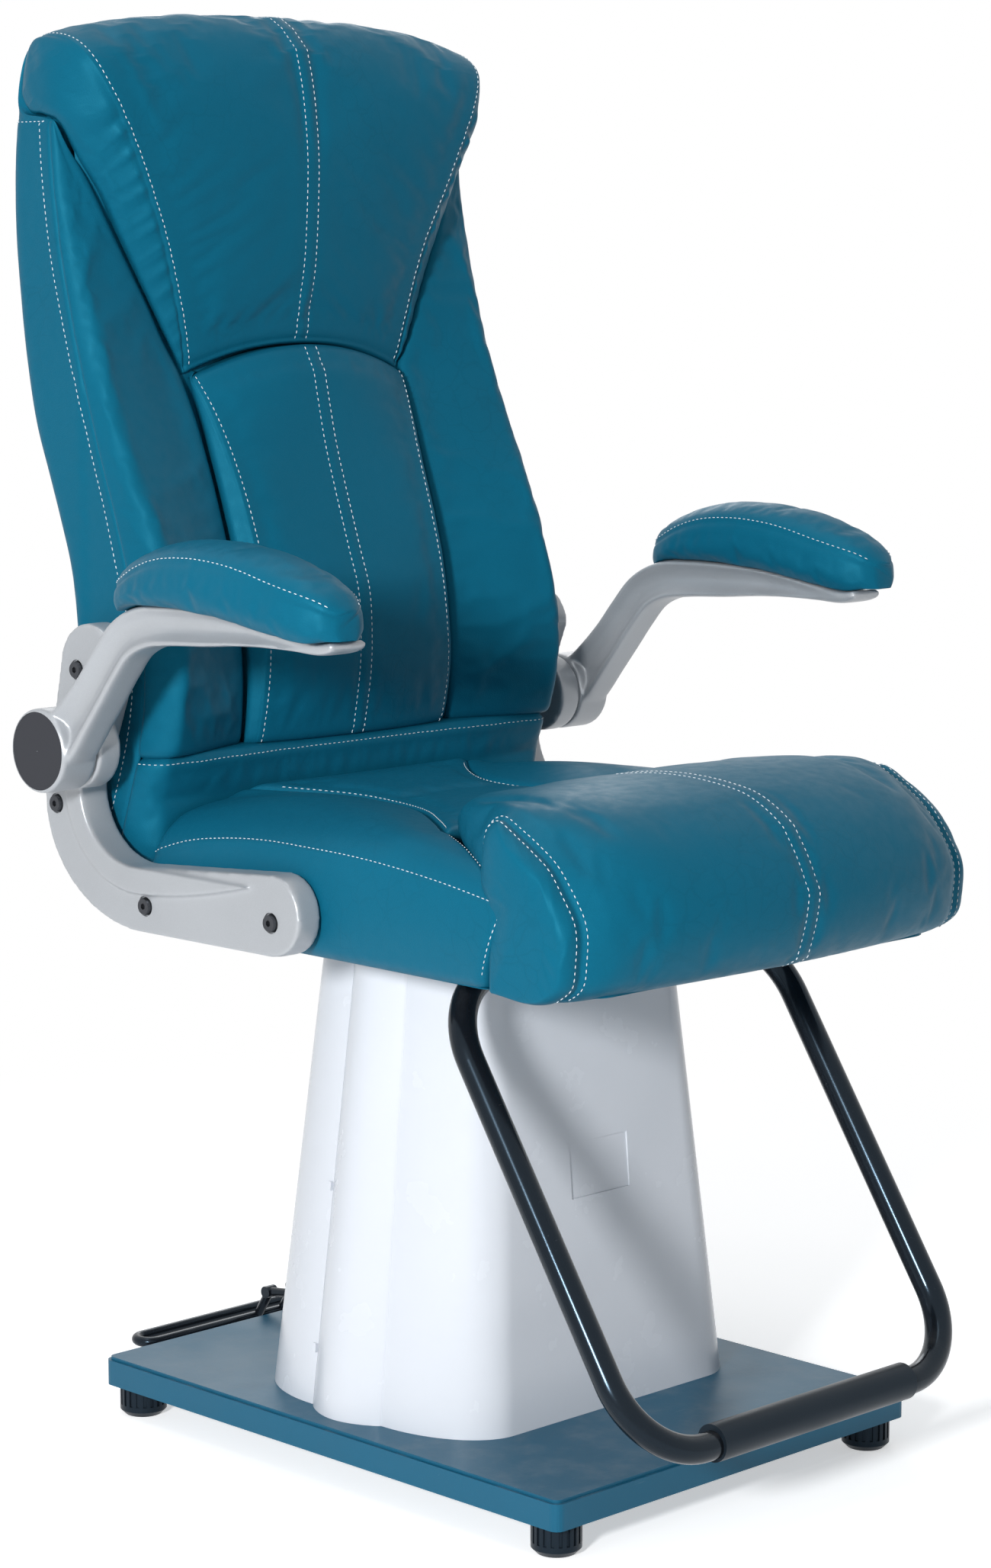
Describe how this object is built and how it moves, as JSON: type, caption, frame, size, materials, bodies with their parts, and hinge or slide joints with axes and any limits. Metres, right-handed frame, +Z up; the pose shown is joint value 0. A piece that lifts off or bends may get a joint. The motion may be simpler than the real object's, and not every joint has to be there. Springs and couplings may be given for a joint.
{
  "type": "ophthalmic examination chair",
  "caption": "Padded high-back examination chair that turns and rises on a pedal-pumped column over a heavy base plate, with flip-up armrests and a tubular footrest.",
  "frame": {"origin": "on the floor, on the column's axis, which is also the centre of the chair's footprint", "axes": "+Z up along the column, the sitter faces -Y, and +X is on the sitter's left, so the nodes named left, at negative X, are the ones on the left of somebody who faces the chair from the front"},
  "size_m": [0.7618, 0.7927, 1.31],
  "materials": {
    "teal_leatherette": "fine-grained padded covering, low sheen",
    "base_paint": "satin teal paint",
    "white_shell": "smooth gloss white moulding",
    "silver_paint": "satin silver powder coat",
    "black_paint": "gloss black enamel",
    "black_rubber": "matte moulded",
    "dark_plastic": "satin moulded",
    "steel": "plain machined",
    "dark_steel": "black oxide",
    "polished_rod": "ground and polished",
    "cast_parts": "as cast, painted grey",
    "plywood": "raw plywood"
  },
  "bodies": {
    "base": {"base_plate": "base_paint", "front_cover": "white_shell", "rear_cover": "white_shell", "cover_clips": "white_shell", "guide_tube": "steel", "flange_bolts": "steel", "guide_bushes": "dark_plastic", "hydraulic_cylinder": "cast_parts", "pump_body": "cast_parts", "feed_pipe": "steel", "pedal_bracket": "steel", "pedal_pin": "polished_rod"},
    "foot_fl": {"foot_front_left": "black_rubber", "stud_front_left": "steel"},
    "foot_fr": {"foot_front_right": "black_rubber", "stud_front_right": "steel"},
    "foot_rl": {"foot_rear_left": "black_rubber", "stud_rear_left": "steel"},
    "foot_rr": {"foot_rear_right": "black_rubber", "stud_rear_right": "steel"},
    "plunger": {"pump_plunger": "polished_rod"},
    "pedal": {"pedal_lever": "black_paint", "pedal_bar": "black_paint"},
    "lift": {"mast_tube": "steel", "piston_rod": "polished_rod", "inner_cover": "white_shell", "mast_head": "steel"},
    "seat": {"seat_plate": "steel", "swivel_spindle": "polished_rod", "spindle_nut": "steel", "seat_plate_bolts": "dark_steel", "seat_board": "plywood", "seat_rails": "plywood", "seat_insert": "teal_leatherette", "thigh_pad_left": "teal_leatherette", "thigh_pad_right": "teal_leatherette", "seat_bolster": "teal_leatherette", "back_board": "plywood", "back_rails": "plywood", "back_shell": "teal_leatherette", "lower_band": "teal_leatherette", "lumbar_pad": "teal_leatherette", "wing_left": "teal_leatherette", "wing_right": "teal_leatherette", "headrest": "teal_leatherette", "bracket_left": "silver_paint", "bracket_right": "silver_paint", "bracket_bolts": "dark_steel", "hub_pins": "steel", "footrest_frame": "black_paint", "footrest_sleeve": "black_rubber", "footrest_clamps": "steel", "clamp_bolts": "dark_steel", "footrest_caps": "dark_plastic"},
    "arm_l": {"arm_left": "silver_paint", "hub_cap_left": "dark_plastic", "arm_pad_left": "teal_leatherette"},
    "arm_r": {"arm_right": "silver_paint", "hub_cap_right": "dark_plastic", "arm_pad_right": "teal_leatherette"}
  },
  "joints": [
    {"name": "column_lift", "type": "slide", "parent": "base", "child": "lift", "axis": [0, 0, 1], "range_m": [0, 0.15]},
    {"name": "seat_swivel", "type": "hinge", "parent": "lift", "child": "seat", "pos_m": [0, 0, 0.474], "axis": [0, 0, 1], "continuous": true},
    {"name": "armrest_left_flip", "type": "hinge", "parent": "seat", "child": "arm_l", "pos_m": [-0.33, 0.233, 0.65], "axis": [-1, 0, 0], "range_deg": [0, 95]},
    {"name": "armrest_right_flip", "type": "hinge", "parent": "seat", "child": "arm_r", "pos_m": [0.33, 0.233, 0.65], "axis": [-1, 0, 0], "range_deg": [0, 95]},
    {"name": "pedal_press", "type": "hinge", "parent": "base", "child": "pedal", "pos_m": [0, 0.134, 0.096], "axis": [-1, 0, 0], "range_deg": [0, 4], "stiffness_Nm_per_rad": 60, "springref_deg": -5.73},
    {"name": "plunger_stroke", "type": "slide", "parent": "base", "child": "plunger", "axis": [0, 0, 1], "range_m": [0, 0.0025]},
    {"name": "foot_front_left_screw", "type": "slide", "parent": "base", "child": "foot_fl", "axis": [0, 0, -1], "range_m": [0, 0.012]},
    {"name": "foot_front_right_screw", "type": "slide", "parent": "base", "child": "foot_fr", "axis": [0, 0, -1], "range_m": [0, 0.012]},
    {"name": "foot_rear_left_screw", "type": "slide", "parent": "base", "child": "foot_rl", "axis": [0, 0, -1], "range_m": [0, 0.012]},
    {"name": "foot_rear_right_screw", "type": "slide", "parent": "base", "child": "foot_rr", "axis": [0, 0, -1], "range_m": [0, 0.012]}
  ],
  "couplings": [
    {"joint": "plunger_stroke", "follows": "pedal_press", "m_per_rad": 0.032}
  ]
}
